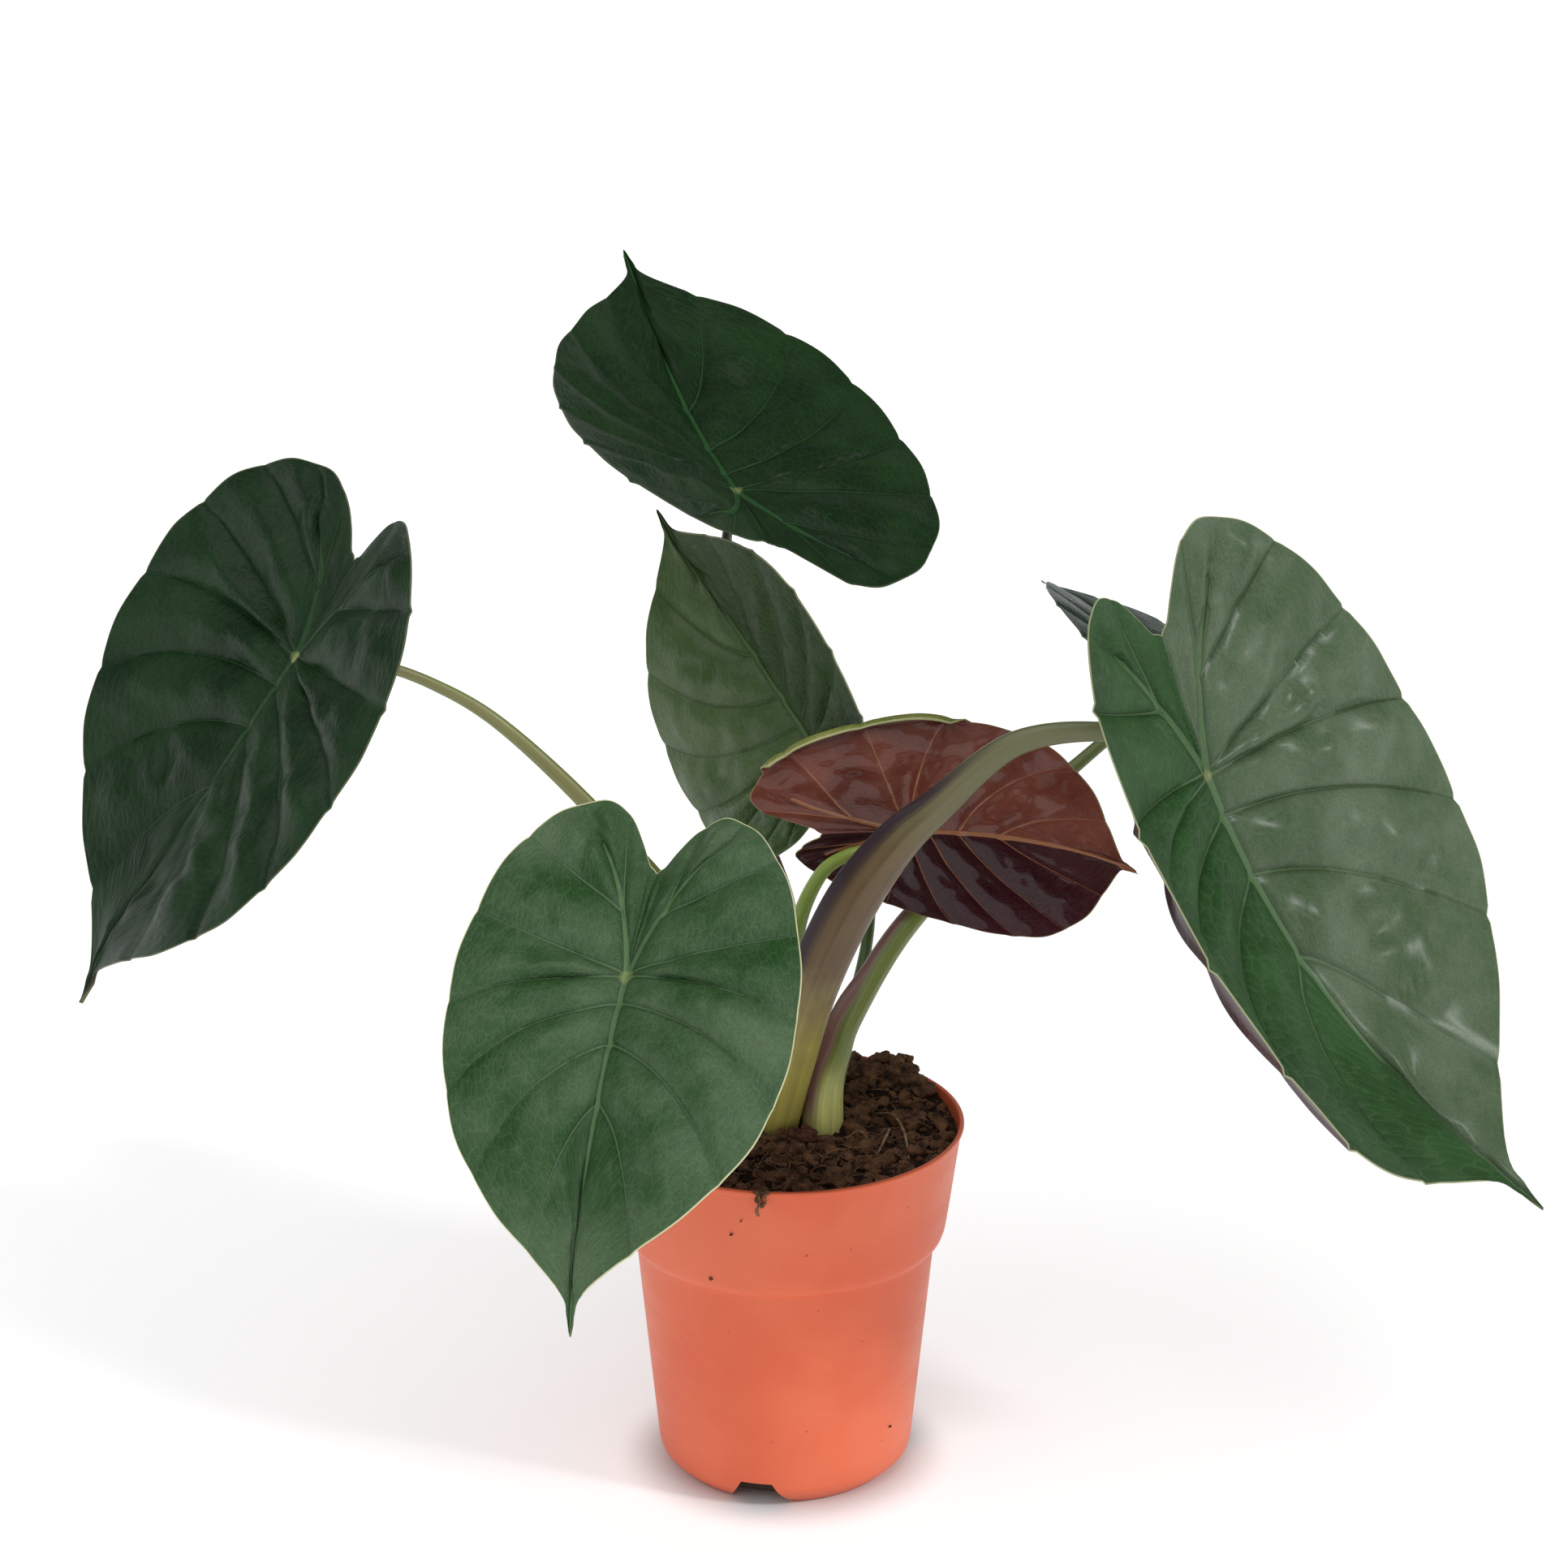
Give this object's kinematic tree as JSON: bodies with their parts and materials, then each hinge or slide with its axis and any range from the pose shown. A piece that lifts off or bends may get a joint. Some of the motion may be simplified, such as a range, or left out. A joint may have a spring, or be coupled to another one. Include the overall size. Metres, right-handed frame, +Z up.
{
  "type": "potted alocasia plant",
  "caption": "Potted alocasia: heart-shaped blades on long bent petioles, rooted in peat in a tapered round plastic nursery pot with a tall collar and foot notches.",
  "frame": {"origin": "centre of the pot's flat underside, where it stands on the floor", "axes": "+Z up, +X towards the plant's right seen from its front, -Y towards its front"},
  "size_m": [0.6864, 0.529, 0.5298],
  "materials": {
    "terracotta_plastic": "satin moulded polypropylene, terracotta orange",
    "peat": "damp fibrous peat compost, dark brown",
    "root_skin": "dry pale brown root skin",
    "green_stem": "smooth yellow-green to olive plant stem",
    "brown_stem": "smooth olive plant stem with dark purple-brown sheath",
    "mature_blade": "glossy dark green leaf with pale veins and a cream margin, purplish beneath",
    "young_blade": "glossy maroon-purple leaf underside with golden veins, dark green above"
  },
  "bodies": {
    "root": {"nursery_pot": "terracotta_plastic", "potting_soil": "peat", "peat_lump": "peat", "root_loop_right": "root_skin", "root_loop_middle": "root_skin", "root_front": "root_skin", "petiole_left": "green_stem", "blade_left": "mature_blade", "petiole_top": "green_stem", "blade_top": "mature_blade", "petiole_rear": "green_stem", "blade_rear": "mature_blade", "petiole_young": "green_stem", "blade_young": "young_blade", "petiole_front": "green_stem", "blade_front": "mature_blade", "petiole_rear_right": "brown_stem", "blade_rear_right": "mature_blade", "petiole_right": "brown_stem", "blade_right": "mature_blade"}
  },
  "joints": []
}
